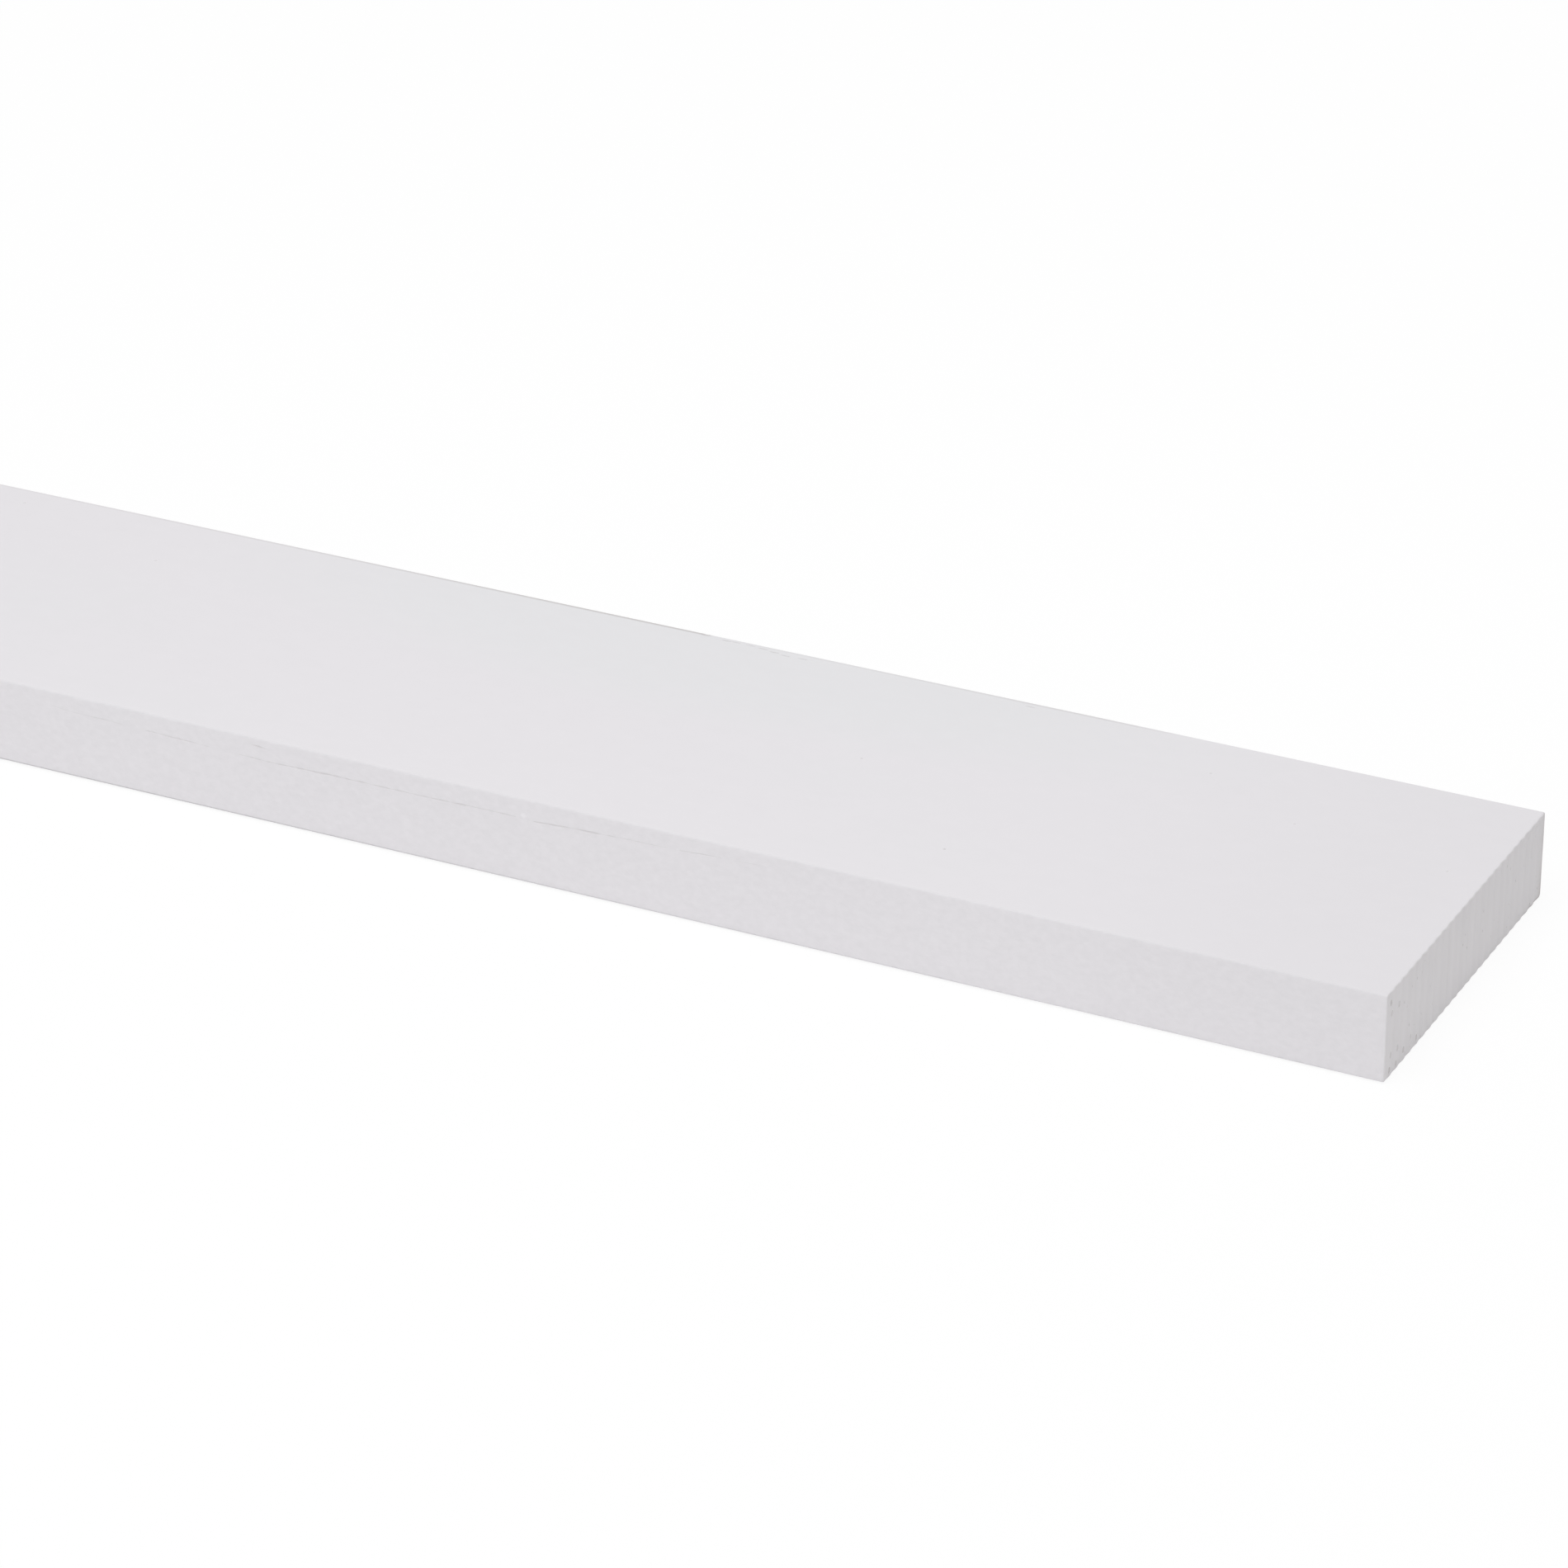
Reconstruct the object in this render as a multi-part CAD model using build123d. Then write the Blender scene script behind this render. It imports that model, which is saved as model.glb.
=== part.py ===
from build123d import *
import os

# Flat trim strip: one planed length of wood with a plain rectangular section, primed white all round.
# It lies on its back face. X runs along the length, Y across the width, and Z from the back face to the
# show face. The origin is the middle of the back face. All sizes are in millimetres.

# Driving dimensions
strip_length = 2400.0  # a length that such trim is sold in
strip_width = 55.0  # across the show face
strip_thickness = 12.0  # from the back face to the show face
arris_radius = 0.3  # the long arrises are only just broken
end_easing = 0.2  # the rims of the sawn ends are rubbed down a little less


def planed_section():
    """The cross-section, standing on its back face, with its four arrises eased."""
    return Plane.YZ * RectangleRounded(
        strip_width, strip_thickness, arris_radius, align=(Align.CENTER, Align.MIN)
    )


def trim_strip():
    """The section run both ways from the middle of the strip to two square sawn ends with eased rims."""
    stock = extrude(planed_section(), amount=strip_length / 2, both=True)
    edges_along = stock.edges().group_by(Axis.X)
    strip = fillet(edges_along[0] + edges_along[-1], end_easing)
    strip.label = "trim_strip"
    return strip


os.makedirs("parts", exist_ok=True)
export_step(trim_strip(), "parts/trim_strip.step")
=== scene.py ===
import math

import bpy
import numpy as np
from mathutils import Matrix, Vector


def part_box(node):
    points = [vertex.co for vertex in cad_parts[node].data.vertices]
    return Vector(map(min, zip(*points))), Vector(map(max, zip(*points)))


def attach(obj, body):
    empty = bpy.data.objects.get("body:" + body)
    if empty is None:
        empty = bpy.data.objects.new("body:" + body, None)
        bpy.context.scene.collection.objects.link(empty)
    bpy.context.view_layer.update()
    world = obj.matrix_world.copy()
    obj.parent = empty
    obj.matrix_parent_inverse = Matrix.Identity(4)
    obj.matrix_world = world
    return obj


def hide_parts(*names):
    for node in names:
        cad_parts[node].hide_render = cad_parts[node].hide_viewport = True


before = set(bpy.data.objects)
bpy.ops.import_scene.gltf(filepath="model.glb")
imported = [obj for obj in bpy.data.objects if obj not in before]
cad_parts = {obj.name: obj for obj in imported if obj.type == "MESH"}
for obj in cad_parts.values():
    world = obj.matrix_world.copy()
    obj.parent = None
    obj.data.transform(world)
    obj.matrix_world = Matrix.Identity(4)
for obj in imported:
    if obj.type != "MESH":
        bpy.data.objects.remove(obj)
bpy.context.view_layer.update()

mm = 0.001
stripLow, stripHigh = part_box("trim_strip")
stripLength, stripWidth, stripThickness = stripHigh - stripLow
print("frame loaded, strip in mm:", [round(side / mm, 2) for side in stripHigh - stripLow])


# Small helpers for node trees

noiseSpan = (0.25, 0.75)  # noise seldom leaves this part of its range
nearNothing = 1e-9  # keeps a division off zero


def fill(tree, socket, value):
    if isinstance(value, bpy.types.NodeSocket):
        tree.links.new(value, socket)
    else:
        socket.default_value = value


def addNode(tree, kind, inputs=(), **settings):
    made = tree.nodes.new(kind)
    for name, value in settings.items():
        setattr(made, name, value)
    for key, value in (inputs.items() if isinstance(inputs, dict) else enumerate(inputs)):
        fill(tree, made.inputs[key], value)
    return made


def calc(tree, operation, *values):
    return addNode(tree, "ShaderNodeMath", values, operation=operation).outputs[0]


def times(tree, product, *others):
    for other in others:
        product = calc(tree, "MULTIPLY", product, other)
    return product


def splitXyz(tree, vector):
    return addNode(tree, "ShaderNodeSeparateXYZ", [vector]).outputs


def joinXyz(tree, *values):
    return addNode(tree, "ShaderNodeCombineXYZ", values).outputs[0]


def mapRange(tree, value, before, after, **settings):
    return addNode(tree, "ShaderNodeMapRange", [value, *before, *after], **settings).outputs[0]


def storeValue(tree, geometry, name, value):
    return addNode(tree, "GeometryNodeStoreNamedAttribute", {
        "Geometry": geometry, "Name": name, "Value": value}, data_type="FLOAT", domain="FACE").outputs[0]


def readValue(tree, name, kind="FLOAT"):
    return addNode(tree, "GeometryNodeInputNamedAttribute", {"Name": name}, data_type=kind).outputs[0]


# Places on the strip, from measures in mm: back from the right end, across or in from a long edge, and
# down from the show face

def onRightEnd(across, down):
    return stripHigh.x, stripLow.y + across * mm, stripHigh.z - down * mm


def onShowFace(back, across):
    return stripHigh.x - back * mm, stripLow.y + across * mm, stripHigh.z


def byFarEdge(back, across):
    return stripHigh.x - back * mm, stripHigh.y - across * mm, stripHigh.z


def onNearEdge(back, down):
    return stripHigh.x - back * mm, stripLow.y, stripHigh.z - down * mm


# The strip: a planed section run along a spine of stations, then sawn square and marked

planedStrip = {
    "arrisRadius": 0.3 * mm,
    "arrisSteps": 4,
    "endEasing": 0.2 * mm,  # round the rim of each sawn end
    "endTurns": (30, 60, 90),  # degrees, a slice at each
    "rowsAcross": 147,  # odd, so that one row lies on the centre line
    "rowsThrough": 47,
    "stationStep": 20 * mm,
    "endSteps": [0.6 * mm, 1.6 * mm, 5 * mm],  # closer stations by each sawn end
    "weld": 0.001 * mm,  # points closer than this become one
    "facing": 0.7,  # a face whose normal leans this far along an axis faces that way
    "flat": 0.99,  # and one that leans less than this along every axis is on an arris
    "sharpAngle": 35,  # degrees
}

sawMarks = {
    "pitch": 2.27 * mm,  # the teeth leave an even ripple across the end
    "rippleDepth": 0.09 * mm,
    "scoreSize": 0.9 * mm,  # and the score marks between are uneven
    "scoreStretch": 14.0,  # how much longer they are than wide
    "scoreDepth": 0.05 * mm,
    "fadeLength": 2 * mm,  # how far in from the rim the ripple is felt
    "poreDensity": 60000.0,  # to the square metre
    "poreSize": (0.05 * mm, 0.09 * mm, 0.24 * mm),  # half sizes: deep, across, up
    "poreLeast": 0.45,  # the smallest, as a share of that
    "poreGap": 1.2 * mm,
    # how dark the pores are: dirt and painted shade in them
    "poreSoilAndShade": 0.4,
    "seed": 7,
}

# Open pits in the end that shows: in from the near edge and down from the show face, in mm, and how dark,
# with dirt and painted shade
endPits = {
    "places": [
        (1.2, 1.5, 0.42), (1.6, 11.0, 0.40), (3.8, 11.2, 0.28), (6.2, 10.4, 0.32), (1.8, 9.0, 0.30),
        (10.6, 10.9, 0.28), (1.6, 3.1, 0.16), (4.1, 9.1, 0.18), (4.0, 3.0, 0.18), (8.6, 9.9, 0.18),
    ],
    "halfSize": (0.16 * mm, 0.32 * mm, 0.50 * mm),
}

# Pinholes in the show face: back from the right end and in from the near edge, in mm, and how dark, with dirt
# and painted shade
pinholes = {
    "places": [
        (64.2, 11.3, 0.28), (84.8, 29.9, 0.20), (42.6, 46.1, 0.18), (27.4, 37.5, 0.14), (5.4, 33.8, 0.12),
        (227.0, 50.7, 0.14), (199.8, 42.1, 0.10),
    ],
    "halfSize": (0.18 * mm, 0.18 * mm, 0.05 * mm),
}

# Knocks by the far arris: back from the right end and in from the far edge, in mm, and how dark, with dirt
# and painted shade
arrisKnocks = {
    "places": [
        (116.8, 0.9, 0.26), (115.4, 0.8, 0.20), (113.2, 0.8, 0.18), (111.2, 1.0, 0.26), (109.4, 1.3, 0.30),
        (107.6, 1.6, 0.24), (105.0, 1.5, 0.20), (71.6, 1.3, 0.24), (57.0, 0.5, 0.20),
    ],
    "halfSize": (0.75 * mm, 0.14 * mm, 0.05 * mm),
}
arrisNotch = {
    "places": [(120.2, 0.35, 0.40)],
    "halfSize": (0.70 * mm, 0.35 * mm, 0.16 * mm),
}

# The hairline check in the near edge.
hairlineCheck = {
    "runs": [
        [(190.0, 2.10, 0.2), (187.0, 2.35, 0.3), (184.0, 2.40, 0.4), (182.0, 2.40, 0.5), (179.0, 2.50, 0.3)],
        [(175.5, 2.58, 0.3), (174.0, 2.60, 0.7), (171.0, 2.70, 0.8), (168.0, 2.77, 0.9), (165.5, 2.85, 0.3)],
        [(161.0, 3.00, 0.3), (159.5, 3.00, 0.7), (157.0, 3.06, 0.4), (155.0, 3.06, 0.8), (152.0, 3.00, 1.0),
         (149.0, 2.96, 1.0), (146.0, 2.90, 0.9), (144.0, 2.93, 0.6), (142.0, 2.90, 0.8), (139.0, 2.95, 0.6),
         (136.0, 2.90, 0.6), (133.0, 2.92, 0.6), (130.0, 2.86, 0.7), (128.0, 2.84, 0.9), (125.0, 2.78, 0.7),
         (122.0, 2.75, 0.6), (119.6, 2.80, 0.6)],
        [(117.0, 2.88, 0.6), (115.0, 2.80, 0.8), (112.0, 2.65, 0.9), (110.0, 2.57, 0.9), (108.0, 2.53, 0.9),
         (106.0, 2.48, 0.6), (103.0, 2.37, 0.4), (100.0, 2.36, 0.4), (97.5, 2.28, 0.3)],
        [(96.0, 2.27, 0.5), (94.0, 2.15, 0.7), (92.0, 2.03, 0.7), (90.0, 1.93, 0.3)],
        [(87.5, 1.90, 0.3), (86.0, 1.82, 0.5), (84.5, 1.76, 0.2)],
        [(159.0, 1.10, 0.4), (157.8, 1.20, 1.5), (156.6, 1.27, 0.4)],
    ],
    "halfWidth": 0.13 * mm,
    "depth": 0.055 * mm,
    "sides": 8,
    # how dark the check is: dirt and painted shade in it
    "soil": 0.15,
    "step": 0.5 * mm,
    "frayLength": 1.1 * mm,  # it opens and closes over about this length
    "fraySpan": (0.35, 0.6),  # from this part of the noise
    "frayOpen": (0.2, 1.1),  # to these shares of its width
    "wander": 0.10 * mm,
}


def stationList():
    half = stripLength / 2
    even = np.linspace(-half, half, round(stripLength / planedStrip["stationStep"]) + 1)[1:-1]
    eased = planedStrip["endEasing"] * (1 - np.cos(np.radians((0, ) + planedStrip["endTurns"])))
    close = np.concatenate([eased, planedStrip["endSteps"]])
    return np.concatenate([-half + close, even, half - close[::-1]])


def pointsObject(name, places, edges=(), **attributes):
    mesh = bpy.data.meshes.new(name)
    mesh.from_pydata([tuple(place) for place in places], list(edges), [])
    for key, values in attributes.items():
        vectors = np.ndim(values) == 2
        layer = mesh.attributes.new(key, "FLOAT_VECTOR" if vectors else "FLOAT", "POINT")
        layer.data.foreach_set("vector" if vectors else "value", np.ravel(values))
    made = bpy.data.objects.new(name, mesh)
    bpy.context.scene.collection.objects.link(made)
    return made


def spineObject():
    stations = stationList()
    steps = [(i, i + 1) for i in range(len(stations) - 1)]
    return pointsObject("spine", [(x, 0, 0) for x in stations], steps)


def bitesObject():
    places, sizes, soilAndShadeList = [], [], []
    kinds = [(endPits, onRightEnd), (pinholes, onShowFace), (arrisKnocks, byFarEdge), (arrisNotch, byFarEdge)]
    for marks, spot in kinds:
        for first, second, soil in marks["places"]:
            places.append(spot(first, second))
            sizes.append(marks["halfSize"])
            soilAndShadeList.append(soil)
    return pointsObject("stripBites", places, biteSize=sizes, biteSoil=soilAndShadeList)


def checkObject():
    places, edges, widths = [], [], []
    for run in hairlineCheck["runs"]:
        edges += [(len(places) + i, len(places) + i + 1) for i in range(len(run) - 1)]
        for back, down, openness in run:
            places.append(onNearEdge(back, down))
            widths.append(hairlineCheck["halfWidth"] * openness)
    return pointsObject("stripCheck", places, edges, checkWidth=widths)


def spreadRows(tree, share, rows, size, radius, steps):
    # Even rows over the flat, and a few close ones round the arris. share runs from -0.5 to 0.5.
    cells = calc(tree, "SUBTRACT", rows, 1.0)
    row = times(tree, calc(tree, "ABSOLUTE", share), cells)
    flatRows = calc(tree, "SUBTRACT", times(tree, cells, 0.5), steps)
    flatSize = calc(tree, "SUBTRACT", times(tree, size, 0.5), radius)
    onFlat = calc(tree, "DIVIDE", calc(tree, "MINIMUM", row, flatRows), flatRows)
    past = calc(tree, "MAXIMUM", calc(tree, "SUBTRACT", row, flatRows), 0.0)
    onTurn = calc(tree, "DIVIDE", past, steps)
    return times(tree, onFlat, flatSize), times(tree, onTurn, radius)


def fromEnd(tree, given, along):
    halfLength = times(tree, given["Length"], 0.5)
    return calc(tree, "SUBTRACT", halfLength, calc(tree, "ABSOLUTE", along))


def planedBlock(tree, given, position):
    # A block with as many slices as the spine has stations
    spine = given["Geometry"]
    stations = addNode(tree, "GeometryNodeAttributeDomainSize", [spine]).outputs["Point Count"]
    block = addNode(tree, "GeometryNodeMeshCube", {
        "Size": (1.0, 1.0, 1.0), "Vertices X": stations,
        "Vertices Y": given["Rows Across"], "Vertices Z": given["Rows Through"]}).outputs["Mesh"]
    share = splitXyz(tree, position)

    # Each slice goes to its station, and each row to its place on the section
    last = calc(tree, "SUBTRACT", stations, 1.0)
    station = calc(tree, "ROUND", times(tree, calc(tree, "ADD", share[0], 0.5), last))
    along = addNode(tree, "GeometryNodeSampleIndex", {
        "Geometry": spine, "Value": position, "Index": station}, data_type="FLOAT_VECTOR").outputs[0]
    radius, steps = given["Arris Radius"], given["Arris Steps"]
    flatY, turnY = spreadRows(tree, share[1], given["Rows Across"], given["Width"], radius, steps)
    flatZ, turnZ = spreadRows(tree, share[2], given["Rows Through"], given["Thickness"], radius, steps)

    # The square corner beyond the flats is drawn in to a quarter round
    longer = calc(tree, "MAXIMUM", turnY, turnZ)
    squares = calc(tree, "ADD", times(tree, turnY, turnY), times(tree, turnZ, turnZ))
    drawn = calc(tree, "DIVIDE", longer, calc(tree, "MAXIMUM", calc(tree, "SQRT", squares), nearNothing))
    sideY = calc(tree, "ADD", flatY, times(tree, turnY, drawn))
    sideZ = calc(tree, "ADD", flatZ, times(tree, turnZ, drawn))

    # The last slices shrink to ease the rim
    placeX = splitXyz(tree, along)[0]
    easing = given["End Easing"]
    short = calc(tree, "SUBTRACT", easing, fromEnd(tree, given, placeX))
    sunk = calc(tree, "DIVIDE", calc(tree, "MAXIMUM", short, 0.0), easing)
    level = calc(tree, "SUBTRACT", 1.0, calc(tree, "POWER", sunk, 2.0))
    level = calc(tree, "SQRT", calc(tree, "MAXIMUM", level, 0.0))
    inset = times(tree, easing, calc(tree, "SUBTRACT", 1.0, level))
    places = []
    for side, size, part in ((sideY, "Width", share[1]), (sideZ, "Thickness", share[2])):
        kept = calc(tree, "SUBTRACT", 1.0, calc(tree, "DIVIDE", inset, times(tree, given[size], 0.5)))
        places.append(times(tree, side, kept, calc(tree, "SIGN", part)))
    placeZ = calc(tree, "ADD", places[1], times(tree, given["Thickness"], 0.5))
    place = joinXyz(tree, placeX, places[0], placeZ)
    return addNode(tree, "GeometryNodeSetPosition", {"Geometry": block, "Position": place}).outputs[0]


def sawEnds(tree, given, position, planed):
    # Each end is scored inwards in upright streaks, which die out just inside the rim
    place = splitXyz(tree, position)
    felt = mapRange(tree, fromEnd(tree, given, place[0]), (0.0, given["Saw Fade"]), (1.0, 0.0))
    whichEnd = calc(tree, "SIGN", place[0])
    wide = given["Score Size"]
    streak = joinXyz(tree, whichEnd, calc(tree, "DIVIDE", place[1], wide),
                     calc(tree, "DIVIDE", place[2], times(tree, wide, sawMarks["scoreStretch"])))
    noise = addNode(tree, "ShaderNodeTexNoise", {
        "Vector": streak, "Scale": 1.0, "Detail": 2.0, "Roughness": 0.6}).outputs[0]
    scored = mapRange(tree, noise, noiseSpan, (0.0, given["Score Depth"]))
    turns = times(tree, calc(tree, "DIVIDE", place[1], given["Saw Pitch"]), 2 * math.pi)
    wave = calc(tree, "SINE", calc(tree, "ADD", turns, noise))
    rippled = mapRange(tree, wave, (-1.0, 1.0), (0.0, given["Ripple Depth"]))
    deep = times(tree, calc(tree, "ADD", scored, rippled), felt)
    inwards = times(tree, deep, whichEnd, -1.0)
    return addNode(tree, "GeometryNodeSetPosition", {
        "Geometry": planed, "Offset": joinXyz(tree, inwards)}).outputs[0]


def beadsOn(tree, points, size, soil):
    bead = addNode(tree, "GeometryNodeMeshIcoSphere", {"Radius": 1.0, "Subdivisions": 2}).outputs["Mesh"]
    beads = addNode(tree, "GeometryNodeInstanceOnPoints", {
        "Points": points, "Instance": bead, "Scale": size}).outputs[0]
    beads = addNode(tree, "GeometryNodeRealizeInstances", [beads]).outputs[0]
    return storeValue(tree, beads, "soil", soil)


def poreBeads(tree, given, sawn, endFace):
    points = addNode(tree, "GeometryNodeDistributePointsOnFaces", {
        "Mesh": sawn, "Selection": endFace, "Distance Min": given["Pore Gap"],
        "Density Max": given["Pore Density"], "Seed": given["Seed"]},
        distribute_method="POISSON").outputs["Points"]
    vary = addNode(tree, "FunctionNodeRandomValue", {
        2: sawMarks["poreLeast"], 3: 1.0, "Seed": given["Seed"]}, data_type="FLOAT").outputs[1]
    size = addNode(tree, "ShaderNodeVectorMath", {
        0: given["Pore Size"], "Scale": vary}, operation="SCALE").outputs[0]
    return beadsOn(tree, points, size, given["Pore Soil"])


def biteBeads(tree, given):
    points = addNode(tree, "GeometryNodeObjectInfo", {"Object": given["Bites"]}).outputs["Geometry"]
    size = readValue(tree, "biteSize", "FLOAT_VECTOR")
    return beadsOn(tree, points, size, readValue(tree, "biteSoil"))


def checkBlade(tree, given):
    # A thin bar that follows the check, and swells, thins and wanders on its way
    line = addNode(tree, "GeometryNodeObjectInfo", {"Object": given["Check"]}).outputs["Geometry"]
    path = addNode(tree, "GeometryNodeMeshToCurve", [line]).outputs[0]
    path = addNode(tree, "GeometryNodeResampleCurve", {
        "Curve": path, "Length": given["Check Step"]}, mode="LENGTH").outputs[0]
    fray = addNode(tree, "ShaderNodeTexNoise", {
        "Scale": calc(tree, "DIVIDE", 1.0, given["Check Fray"]), "Detail": 1.0}).outputs
    stray = calc(tree, "SUBTRACT", splitXyz(tree, fray[1])[1], 0.5)
    shift = joinXyz(tree, 0.0, 0.0, times(tree, stray, given["Check Wander"]))
    path = addNode(tree, "GeometryNodeSetPosition", {"Geometry": path, "Offset": shift}).outputs[0]
    opened = mapRange(tree, fray[0], hairlineCheck["fraySpan"], hairlineCheck["frayOpen"])
    tip = addNode(tree, "GeometryNodeCurvePrimitiveCircle", {
        "Resolution": given["Check Sides"], "Radius": 1.0}).outputs[0]
    tip = addNode(tree, "GeometryNodeTransform", {
        "Geometry": tip, "Scale": joinXyz(tree, given["Check Slimness"], 1.0, 1.0)}).outputs[0]
    blade = addNode(tree, "GeometryNodeCurveToMesh", {
        "Curve": path, "Profile Curve": tip, "Fill Caps": True,
        "Scale": times(tree, readValue(tree, "checkWidth"), opened)}).outputs[0]
    return storeValue(tree, blade, "soil", given["Check Soil"])


def stripInputs(primer):
    # Every input of the strip's tree, with its kind and its value
    return {
        "Length": ("Float", stripLength),
        "Width": ("Float", stripWidth),
        "Thickness": ("Float", stripThickness),
        "Arris Radius": ("Float", planedStrip["arrisRadius"]),
        "Arris Steps": ("Int", planedStrip["arrisSteps"]),
        "End Easing": ("Float", planedStrip["endEasing"]),
        "Rows Across": ("Int", planedStrip["rowsAcross"]),
        "Rows Through": ("Int", planedStrip["rowsThrough"]),
        "Saw Pitch": ("Float", sawMarks["pitch"]),
        "Ripple Depth": ("Float", sawMarks["rippleDepth"]),
        "Score Size": ("Float", sawMarks["scoreSize"]),
        "Score Depth": ("Float", sawMarks["scoreDepth"]),
        "Saw Fade": ("Float", sawMarks["fadeLength"]),
        "Pore Density": ("Float", sawMarks["poreDensity"]),
        "Pore Size": ("Vector", sawMarks["poreSize"]),
        "Pore Gap": ("Float", sawMarks["poreGap"]),
        "Pore Soil": ("Float", sawMarks["poreSoilAndShade"]),
        "Seed": ("Int", sawMarks["seed"]),
        "Bites": ("Object", bitesObject()),
        "Check": ("Object", checkObject()),
        "Check Sides": ("Int", hairlineCheck["sides"]),
        "Check Slimness": ("Float", hairlineCheck["depth"] / hairlineCheck["halfWidth"]),
        "Check Soil": ("Float", hairlineCheck["soil"]),
        "Check Step": ("Float", hairlineCheck["step"]),
        "Check Fray": ("Float", hairlineCheck["frayLength"]),
        "Check Wander": ("Float", hairlineCheck["wander"]),
        "Primer": ("Material", primer),
    }


def stripTree(inputs):
    tree = bpy.data.node_groups.new("planedStrip", "GeometryNodeTree")
    sockets = tree.interface
    sockets.new_socket("Geometry", in_out="INPUT", socket_type="NodeSocketGeometry")
    sockets.new_socket("Geometry", in_out="OUTPUT", socket_type="NodeSocketGeometry")
    ids = {}
    for name in inputs:
        kind = "NodeSocket" + inputs[name][0]
        ids[name] = sockets.new_socket(name, in_out="INPUT", socket_type=kind).identifier
    given = tree.nodes.new("NodeGroupInput").outputs
    position = tree.nodes.new("GeometryNodeInputPosition").outputs[0]
    normal = splitXyz(tree, tree.nodes.new("GeometryNodeInputNormal").outputs[0])
    leans = [calc(tree, "ABSOLUTE", part) for part in normal]
    endFace = calc(tree, "GREATER_THAN", leans[0], planedStrip["facing"])

    sawn = sawEnds(tree, given, position, planedBlock(tree, given, position))
    sawn = addNode(tree, "GeometryNodeTriangulate", {"Mesh": sawn, "Selection": endFace}).outputs[0]
    cutters = addNode(tree, "GeometryNodeJoinGeometry")
    for part in (poreBeads(tree, given, sawn, endFace), biteBeads(tree, given), checkBlade(tree, given)):
        tree.links.new(part, cutters.inputs[0])
    carved = addNode(tree, "GeometryNodeMeshBoolean", {
        "Mesh 1": storeValue(tree, sawn, "soil", 0.0), "Mesh 2": cutters.outputs[0]},
        operation="DIFFERENCE", solver="MANIFOLD").outputs[0]
    carved = addNode(tree, "GeometryNodeMergeByDistance", {
        "Geometry": carved, "Distance": planedStrip["weld"]}).outputs[0]

    # Which finish each face has
    edgeFace = calc(tree, "GREATER_THAN", leans[1], planedStrip["facing"])
    squarest = calc(tree, "MAXIMUM", leans[0], calc(tree, "MAXIMUM", leans[1], leans[2]))
    arrisFace = calc(tree, "LESS_THAN", calc(tree, "ADD", squarest, endFace), planedStrip["flat"])
    marked = storeValue(tree, carved, "sawn", endFace)
    marked = storeValue(tree, marked, "edge", edgeFace)
    marked = storeValue(tree, marked, "arris", arrisFace)
    whole = addNode(tree, "GeometryNodeRealizeInstances", [marked]).outputs[0]
    primed = addNode(tree, "GeometryNodeSetMaterial", {
        "Geometry": whole, "Material": given["Primer"]}).outputs[0]
    tree.links.new(primed, tree.nodes.new("NodeGroupOutput").inputs[0])
    return tree, ids


def makeStrip(primer):
    inputs = stripInputs(primer)
    tree, ids = stripTree(inputs)
    spine = spineObject()
    modifier = spine.modifiers.new("planedStrip", "NODES")
    modifier.node_group = tree
    for name in inputs:
        modifier[ids[name]] = inputs[name][1]
    graph = bpy.context.evaluated_depsgraph_get()
    mesh = bpy.data.meshes.new_from_object(
        spine.evaluated_get(graph), preserve_all_data_layers=True, depsgraph=graph)
    mesh.name = "trimStrip"
    mesh.materials.clear()  # drops the empty slot that the cube node brings
    mesh.materials.append(primer)
    mesh.polygons.foreach_set("material_index", np.zeros(len(mesh.polygons), np.int32))
    for spare in ("biteSize", "biteSoil", "checkWidth", "id"):
        mesh.attributes.remove(mesh.attributes[spare])
    mesh.shade_smooth()
    mesh.set_sharp_from_angle(angle=math.radians(planedStrip["sharpAngle"]))
    strip = bpy.data.objects.new("trimStrip", mesh)
    bpy.context.scene.collection.objects.link(strip)
    for helper in (spine, inputs["Bites"][1], inputs["Check"][1]):
        bpy.data.objects.remove(helper)
    return strip


# A flat map of the strip, for whoever bakes it

bakeMap = {
    "shownLength": 240 * mm,  # the stretch by the right end, which gets the finest texels
    "shownScale": 3.45,  # map widths to the metre
    "plainScale": 1.21,
    "plainRows": 3,
    "endScale": 7.4,
    "gap": 0.008,
}


def readFaces(faces, name, wide):
    values = np.empty(len(faces) * wide)
    faces.foreach_get(name, values)
    return values.reshape(-1, wide)


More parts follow.
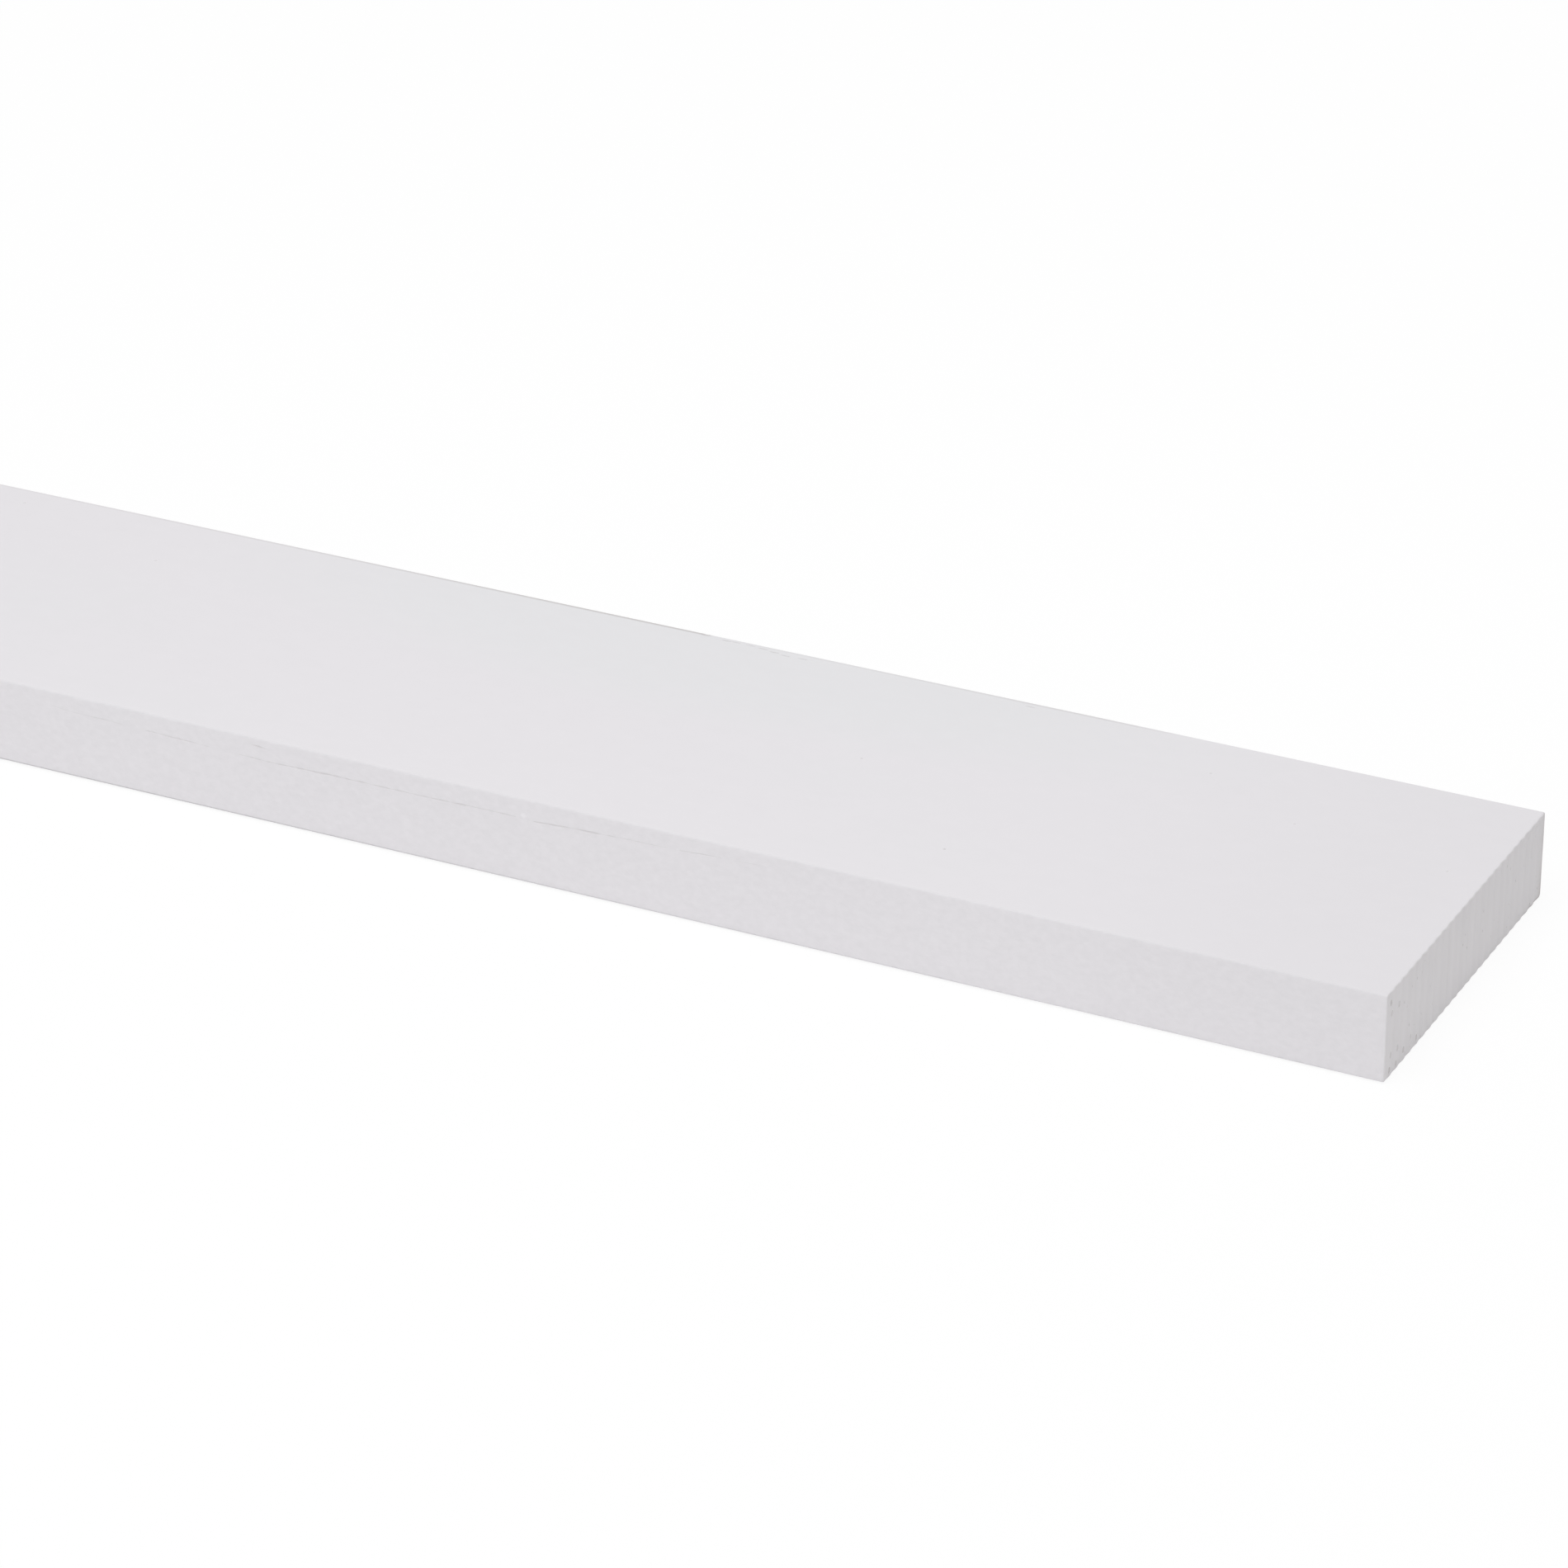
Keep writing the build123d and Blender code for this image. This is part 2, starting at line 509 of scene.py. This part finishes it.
def layBakeMap(mesh):
    # The four sides are unrolled round the strip and laid in rows. The two ends stand beside them.
    corner = np.empty(len(mesh.loops), int)
    mesh.loops.foreach_get("vertex_index", corner)
    low = np.array(stripLow)
    along, across, up = (readFaces(mesh.vertices, "co", 3)[corner] - low).T
    normal = readFaces(mesh.polygons, "normal", 3)
    centre = readFaces(mesh.polygons, "center", 3) - low
    loops = readFaces(mesh.polygons, "loop_total", 1)[:, 0].astype(int)
    soil = readFaces(mesh.attributes["soil"].data, "value", 1)[:, 0]
    length, wide, thick = stripLength, stripWidth, stripThickness

    # Sides: 0 near edge, 1 show face, 2 far edge, 3 back face, 4 ends. A mark goes with the side it is in.
    byNormal = np.stack([-normal[:, 1], normal[:, 2], normal[:, 1], -normal[:, 2], abs(normal[:, 0])])
    toEnd = np.minimum(centre[:, 0], length - centre[:, 0])
    byPlace = np.stack([centre[:, 1], thick - centre[:, 2], wide - centre[:, 1], centre[:, 2], toEnd])
    side = np.repeat(np.where(soil > 0, byPlace.argmin(0), byNormal.argmax(0)), loops)
    isEnd = side == 4
    unrolled = [up, thick + across, thick + wide + thick - up, 2 * (thick + wide) - across]
    girth = np.choose(np.minimum(side, 3), unrolled)

    gap, shownScale, plainScale = bakeMap["gap"], bakeMap["shownScale"], bakeMap["plainScale"]
    plain = length - bakeMap["shownLength"]
    rowLength = plain / bakeMap["plainRows"]
    middle = np.repeat(centre[:, 0], loops)
    shown = middle > plain
    row = np.where(shown, 0, np.minimum(middle // rowLength, bakeMap["plainRows"] - 1)).astype(int)
    scale = np.where(shown, shownScale, plainScale)
    allRound = 2 * (wide + thick)
    plainBase = 2 * gap + allRound * shownScale
    base = np.where(shown, gap, plainBase + row * (gap + allRound * plainScale))
    u = gap + (along - np.where(shown, plain, row * rowLength)) * scale
    v = base + girth * scale

    right = middle > length / 2
    beside = 2 * gap + np.where(right, bakeMap["shownLength"] * shownScale, rowLength * plainScale)
    u = np.where(isEnd, beside + up * bakeMap["endScale"], u)
    v = np.where(isEnd, np.where(right, gap, plainBase) + across * bakeMap["endScale"], v)
    mesh.uv_layers.new(name="OFBake").uv.foreach_set("vector", np.stack([u, v], 1).ravel())


# Primer. A tint is how far a pattern lightens and darkens the colour.

primerLook = {
    "base": (0.778, 0.760, 0.785, 1.0),
    "cool": (0.766, 0.761, 0.779, 1.0),  # slow drifts of tone along the stock
    # the dark colour of dirt and of painted shade, in the marks and along edges and rims
    "grimeAndShade": (0.43, 0.40, 0.385, 1.0),
    "endTintAndShade": (0.894, 0.891, 0.879, 1.0),  # primer sinks into the sawn ends, and painted shade darkens them further
    "paintedFootToTop": (1.028, 0.980),  # painted light at their foot and painted shade at their top
    # painted shade, darker from the near side of each end to the far one
    "paintedNearToFar": (1.009, 0.983),
    # painted shade on the arrises, which keeps them from lighting up
    "paintedArrisShade": 0.965,
    "endFalloffShade": 0.975,  # painted shade where the light falls off: a faint grey over the last hand's width
    "endFalloffLength": 60 * mm,
    "roughness": 0.6,
    "endRoughness": 0.85,
    "peelSize": 0.75 * mm,  # the orange peel on the narrow edges
    "peelStretch": (1.4, 1.0, 1.0),
    "peelHeight": 0.03 * mm,
    "peelTint": 0.022,
    "stippleSize": 2.2 * mm,  # the flatter stipple on the wide faces
    "stippleStretch": (1.6, 1.0, 1.0),
    "stippleHeight": 0.012 * mm,
    "stippleTint": 0.006,
    "streakSize": 0.6 * mm,  # upright streaks on the ends
    "streakStretch": (1.0, 1.0, 14.0),
    "streakHeight": 0.015 * mm,
    "streakTint": 0.010,
    "blotchSize": 4 * mm,
    "blotchStretch": (1.0, 1.0, 2.0),
    "blotchSpan": (0.3, 0.7),
    "blotchTint": 0.011,
    # painted shade in the hollows of the saw ripple on the ends
    "paintedRippleShade": 0.009,
    "rippleStart": 0.5,  # radians
}

# Painted shade, a dark line along the far edge of the show face: back from the right end, in mm, and how dark
farEdgeShade = {
    "stops": [
        (48, 0.0), (62, 0.28), (80, 0.20), (104, 0.10), (119, 0.0),
        (121, 0.60), (140, 0.55), (180, 0.26), (215, 0.14), (260, 0.0),
    ],
    "width": 0.8 * mm,
}

# Painted shade on the right end's lower rim, by the floor, and a dark line on its far rim that fades upwards
# from the foot
rimShade = {
    "reach": 0.25 * mm,  # back from the end, which takes in the eased rim
    "lowWidth": 0.45 * mm,
    "lowShare": 0.12,  # of the grime in the corner where the two rims meet
    "lowStart": 9 * mm,  # it thickens from here, measured from the far edge
    "lowFull": 3 * mm,
    "farWidth": 1.7 * mm,
    "farFull": 2.0 * mm,  # it thins on the far rim from this height
    "farHeight": 6.0 * mm,
    "farLeast": 0.5,
    "patchSize": 2.5 * mm,
    "patchSpan": (0.35, 0.65),
    "patchLeast": 0.75,
    "darkest": 0.78,
}

# A cool patch on the show face: back from the right end and in from the near edge, in mm. Fainter drifts
# of the same tone run all along the strip.
coolPatch = {
    "place": (115.0, 50.0),
    "halfSize": (85 * mm, 22 * mm),
    "fullTo": 0.5,  # of the half size
    "driftSize": 30 * mm,
    "driftStretch": (2.5, 1.0, 1.0),
    "driftSpan": (0.5, 0.7),
    "driftShare": 0.4,
}

# Painted shade along the lower arrises, which turn down towards the floor, less of it by the right end
lowArrisShade = {
    "shade": 0.72,
    "height": 0.34 * mm,
    "cleanLength": 40 * mm,
    "fadeLength": 130 * mm,
}

# One nib of primer beside the check: back from the right end, and down from the show face, in mm
paintNib = {
    "place": (118.5, 2.40),
    "radius": 0.50 * mm,
    "fullTo": 0.4,  # of the radius
    "lighter": 1.07,
}


def blend(tree, factor, first, second, mode="MIX"):
    made = addNode(tree, "ShaderNodeMix", {
        0: factor, 6: first, 7: second}, data_type="RGBA", blend_type=mode)
    return made.outputs[2]


def pick(tree, factor, first, second):
    made = addNode(tree, "ShaderNodeMix", {0: factor, 2: first, 3: second}, data_type="FLOAT")
    return made.outputs[0]


def tinted(tree, value, span, swing):
    return mapRange(tree, value, span, (1.0 - swing, 1.0 + swing))


def lumps(tree, where, size, stretch=(1.0, 1.0, 1.0), detail=2.0, roughness=0.5):
    # Noise whose lumps are size long, drawn out along an axis by stretch
    scale = [1.0 / (size * longer) for longer in stretch]
    turned = addNode(tree, "ShaderNodeMapping", {"Vector": where, "Scale": scale}).outputs[0]
    return addNode(tree, "ShaderNodeTexNoise", {
        "Vector": turned, "Scale": 1.0, "Detail": detail, "Roughness": roughness}).outputs[0]


def attribute(tree, name):
    return addNode(tree, "ShaderNodeAttribute", attribute_name=name).outputs["Fac"]


def newMaterial(name):
    material = bpy.data.materials.new(name)
    material.use_nodes = True
    material.node_tree.nodes.clear()
    return material, material.node_tree


def paintedFarEdgeShade(tree, place):
    stops, wide = farEdgeShade["stops"], farEdgeShade["width"]
    reach = stops[-1][0]
    back = calc(tree, "DIVIDE", calc(tree, "SUBTRACT", stripHigh.x, place[0]), reach * mm)
    ramp = addNode(tree, "ShaderNodeValToRGB", [back])
    elements = ramp.color_ramp.elements
    for stop in stops[2:]:  # a new ramp has two
        elements.new(stop[0] / reach)
    for element, (stop, dark) in zip(elements, stops):
        element.position = stop / reach
        element.color = (dark, dark, dark, 1.0)
    byEdge = mapRange(tree, place[1], (stripHigh.y - wide, stripHigh.y - wide / 2), (0.0, 1.0))
    onTop = calc(tree, "GREATER_THAN", place[2], stripHigh.z - wide)
    return times(tree, byEdge, onTop, ramp.outputs[0])


def paintedRimShade(tree, where, place):
    foot, edge = stripLow.z, stripHigh.y
    lowWide = rimShade["lowWidth"]
    low = mapRange(tree, place[2], (foot + lowWide / 2, foot + lowWide), (1.0, 0.0))
    thicker = (edge - rimShade["lowStart"], edge - rimShade["lowFull"])
    low = times(tree, low, mapRange(tree, place[1], thicker, (rimShade["lowShare"], 1.0)))
    far = mapRange(tree, place[1], (edge - rimShade["farWidth"], edge), (0.0, 1.0))
    thinner = (foot + rimShade["farFull"], foot + rimShade["farHeight"])
    far = times(tree, far, mapRange(tree, place[2], thinner, (1.0, rimShade["farLeast"])))
    noise = lumps(tree, where, rimShade["patchSize"])
    patches = mapRange(tree, noise, rimShade["patchSpan"], (rimShade["patchLeast"], 1.0))
    byEnd = calc(tree, "GREATER_THAN", place[0], stripHigh.x - rimShade["reach"])
    return times(tree, calc(tree, "MAXIMUM", low, far), patches, byEnd, rimShade["darkest"])


def coolDrift(tree, where, place):
    middle = onShowFace(*coolPatch["place"])
    squares = []
    for axis in (0, 1):
        off = calc(tree, "SUBTRACT", place[axis], middle[axis])
        squares.append(calc(tree, "POWER", calc(tree, "DIVIDE", off, coolPatch["halfSize"][axis]), 2.0))
    away = calc(tree, "SQRT", calc(tree, "ADD", *squares))
    patch = mapRange(tree, away, (coolPatch["fullTo"], 1.0), (1.0, 0.0))
    noise = lumps(tree, where, coolPatch["driftSize"], coolPatch["driftStretch"], 3.0)
    drift = mapRange(tree, noise, coolPatch["driftSpan"], (0.0, coolPatch["driftShare"]))
    return calc(tree, "MAXIMUM", patch, drift)


def paintedLowArrisShade(tree, place):
    back = calc(tree, "SUBTRACT", stripHigh.x, place[0])
    clean, fade = lowArrisShade["cleanLength"], lowArrisShade["fadeLength"]
    shade = mapRange(tree, back, (clean, clean + fade), (1.0, lowArrisShade["shade"]))
    foot, high = stripLow.z, lowArrisShade["height"]
    low = mapRange(tree, place[2], (foot + high / 2, foot + high), (1.0, 0.0))
    return pick(tree, low, 1.0, shade)


# Painted shade, greyer towards each end
def paintedEndFalloff(tree, place):
    half = stripLength / 2
    return mapRange(tree, calc(tree, "ABSOLUTE", place[0]), (half - primerLook["endFalloffLength"], half),
                    (1.0, primerLook["endFalloffShade"]), interpolation_type="SMOOTHSTEP")


def nibSpot(tree, where):
    middle, radius = onNearEdge(*paintNib["place"]), paintNib["radius"]
    away = addNode(tree, "ShaderNodeVectorMath", [where, middle], operation="DISTANCE").outputs["Value"]
    return mapRange(tree, away, (paintNib["fullTo"] * radius, radius), (1.0, 0.0))


def endShade(tree, where, place, streaks):
    streaked = tinted(tree, streaks, noiseSpan, primerLook["streakTint"])
    turns = times(tree, place[1], 2 * math.pi / sawMarks["pitch"])
    wave = calc(tree, "SINE", calc(tree, "ADD", turns, primerLook["rippleStart"]))
    rippled = tinted(tree, wave, (-1.0, 1.0), -primerLook["paintedRippleShade"])  # painted shade, darker in the hollows of the saw ripple
    blotches = lumps(tree, where, primerLook["blotchSize"], primerLook["blotchStretch"])
    blotched = tinted(tree, blotches, primerLook["blotchSpan"], primerLook["blotchTint"])
    paintedFootToTop, paintedNearToFar = primerLook["paintedFootToTop"], primerLook["paintedNearToFar"]
    # Painted light at the foot of the end, painted shade at its top
    paintedUpwards = mapRange(tree, place[2], (stripLow.z, stripHigh.z), paintedFootToTop)
    # Painted shade across the end, darker towards its far side
    across = mapRange(tree, place[1], (stripLow.y, stripHigh.y), paintedNearToFar)
    return times(tree, streaked, rippled, blotched, paintedUpwards, across)


def whitePrimer():
    material, tree = newMaterial("whitePrimer")
    where = addNode(tree, "ShaderNodeTexCoord").outputs["Object"]
    place = splitXyz(tree, where)
    sawn, edge, arris, soil = (attribute(tree, name) for name in ("sawn", "edge", "arris", "soil"))

    # Stippled faces, mottled edges and streaked ends
    stipple = lumps(tree, where, primerLook["stippleSize"], primerLook["stippleStretch"], 3.0)
    peel = lumps(tree, where, primerLook["peelSize"], primerLook["peelStretch"])
    streaks = lumps(tree, where, primerLook["streakSize"], primerLook["streakStretch"], 2.0, 0.6)
    onSide = pick(tree, edge, tinted(tree, stipple, noiseSpan, primerLook["stippleTint"]),
                  tinted(tree, peel, noiseSpan, primerLook["peelTint"]))

    # Painted shade on every arris and along the lower arrises, painted falloff of light towards each end, and
    # the one nib
    onSide = times(tree, onSide, paintedEndFalloff(tree, place), paintedLowArrisShade(tree, place))
    shade = pick(tree, sawn, onSide, endShade(tree, where, place, streaks))
    nib = nibSpot(tree, where)
    shade = times(tree, shade, pick(tree, arris, 1.0, primerLook["paintedArrisShade"]),
                  pick(tree, nib, 1.0, paintNib["lighter"]))

    tone = blend(tree, coolDrift(tree, where, place), primerLook["base"], primerLook["cool"])
    # The sawn ends take the end tint: primer sunk in, and painted shade
    tone = blend(tree, sawn, tone, blend(tree, 1.0, tone, primerLook["endTintAndShade"], "MULTIPLY"))
    tone = addNode(tree, "ShaderNodeVectorMath", {0: tone, "Scale": shade}, operation="SCALE").outputs[0]
    # Painted shade along the far edge and on the end's rims, and dirt with painted shade in the marks, all
    # drawn to one dark colour
    paintedShade = calc(tree, "MAXIMUM", paintedFarEdgeShade(tree, place), paintedRimShade(tree, where, place))
    colour = blend(tree, calc(tree, "MAXIMUM", soil, paintedShade), tone, primerLook["grimeAndShade"])

    # Relief too fine for the mesh, all measured by the height of the orange peel
    tallest = primerLook["peelHeight"]
    onFace = times(tree, stipple, primerLook["stippleHeight"] / tallest)
    onEnd = times(tree, streaks, primerLook["streakHeight"] / tallest)
    height = pick(tree, sawn, pick(tree, edge, onFace, calc(tree, "ADD", peel, nib)), onEnd)
    bump = addNode(tree, "ShaderNodeBump", {"Strength": 1.0, "Distance": tallest, "Height": height})
    dull = calc(tree, "MAXIMUM", sawn, soil)
    rough = pick(tree, dull, primerLook["roughness"], primerLook["endRoughness"])
    shader = addNode(tree, "ShaderNodeBsdfPrincipled", {
        "Base Color": colour, "Roughness": rough, "Normal": bump.outputs[0]})
    output = tree.nodes.new("ShaderNodeOutputMaterial")
    tree.links.new(shader.outputs[0], output.inputs["Surface"])
    return material


# Floor, light and camera

studio = {
    "floorSize": 60.0,
    "floorDrop": 0.2 * mm,
    "floorColour": (0.99, 0.99, 0.99, 1.0),
    "whiteShare": 0.9,  # how much of the floor the camera sees as plain white
    "surround": 0.60,
    "keyStrength": 1.04,
    "keyFrom": (0.0, -0.29, 0.957),
    "keyAngle": 60.0,
    "fillPower": 0.145,  # a small soft box by the end that shows, from which the light falls off slowly
    "fillSize": 0.25,
    "fillAt": (-0.14, -0.16, 0.36),  # from the foot of the right end
}


def seenStraight(tree):
    path = tree.nodes.new("ShaderNodeLightPath").outputs
    either = calc(tree, "MAXIMUM", path["Is Camera Ray"], path["Is Glossy Ray"])
    return calc(tree, "MAXIMUM", either, path["Is Transmission Ray"])


def makeFloor():
    half, low = studio["floorSize"] / 2, stripLow.z - studio["floorDrop"]
    mesh = bpy.data.meshes.new("floor")
    mesh.from_pydata([(-half, -half, low), (half, -half, low), (half, half, low), (-half, half, low)],
                     [], [(0, 1, 2, 3)])
    floor = bpy.data.objects.new("floor", mesh)
    bpy.context.scene.collection.objects.link(floor)
    material, tree = newMaterial("floorWhite")
    lit = addNode(tree, "ShaderNodeBsdfDiffuse", {"Color": studio["floorColour"]})
    white = addNode(tree, "ShaderNodeEmission", {"Color": (1, 1, 1, 1), "Strength": 1.0})
    share = calc(tree, "MULTIPLY", seenStraight(tree), studio["whiteShare"])
    both = addNode(tree, "ShaderNodeMixShader", [share, lit.outputs[0], white.outputs[0]])
    output = tree.nodes.new("ShaderNodeOutputMaterial")
    tree.links.new(both.outputs[0], output.inputs["Surface"])
    mesh.materials.append(material)


def makeLight():
    world = bpy.data.worlds.new("surround")
    bpy.context.scene.world = world
    world.use_nodes = True
    tree = world.node_tree
    tree.nodes.clear()
    strength = mapRange(tree, seenStraight(tree), (0.0, 1.0), (studio["surround"], 1.0))
    background = addNode(tree, "ShaderNodeBackground", {"Color": (1, 1, 1, 1), "Strength": strength})
    output = tree.nodes.new("ShaderNodeOutputWorld")
    tree.links.new(background.outputs[0], output.inputs["Surface"])

    key = bpy.data.lights.new("softKey", "SUN")
    key.energy = studio["keyStrength"]
    key.angle = math.radians(studio["keyAngle"])
    keyLamp = bpy.data.objects.new("softKey", key)
    keyLamp.rotation_euler = Vector(studio["keyFrom"]).to_track_quat("Z", "Y").to_euler()
    softBox = bpy.data.lights.new("softFill", "AREA")
    softBox.energy = studio["fillPower"]
    softBox.size = studio["fillSize"]
    fillLamp = bpy.data.objects.new("softFill", softBox)
    fillLamp.location = Vector((stripHigh.x, 0.0, stripLow.z)) + Vector(studio["fillAt"])
    for lamp in (keyLamp, fillLamp):
        bpy.context.scene.collection.objects.link(lamp)


photoView = {
    "lens": 137.4,
    "sensor": 36.0,
    "azimuth": 26.52,
    "elevation": 26.47,
    "distance": 0.7698,
    "aimFromEnd": 90.5,  # the point looked at, on the show face, in mm
    "aimFromNearEdge": 18.75,
}


def placeCamera():
    turn, rise = math.radians(photoView["azimuth"]), math.radians(photoView["elevation"])
    back = Vector((math.sin(turn) * math.cos(rise), -math.cos(turn) * math.cos(rise), math.sin(rise)))
    aim = Vector(onShowFace(photoView["aimFromEnd"], photoView["aimFromNearEdge"]))
    camera = bpy.data.objects.new("camera", bpy.data.cameras.new("camera"))
    camera.data.lens = photoView["lens"]
    camera.data.sensor_width = photoView["sensor"]
    camera.location = aim + back * photoView["distance"]
    camera.rotation_euler = (-back).to_track_quat("-Z", "Y").to_euler()
    bpy.context.scene.collection.objects.link(camera)
    bpy.context.scene.camera = camera


strip = makeStrip(whitePrimer())
strip.data.calc_loop_triangles()
print("strip made:", len(strip.data.loop_triangles), "triangles")
layBakeMap(strip.data)
print("flat map laid out")
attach(strip, "root")
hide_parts("trim_strip")

makeFloor()
makeLight()
placeCamera()
bpy.context.scene.view_settings.view_transform = "Standard"
print("floor, light and camera placed")
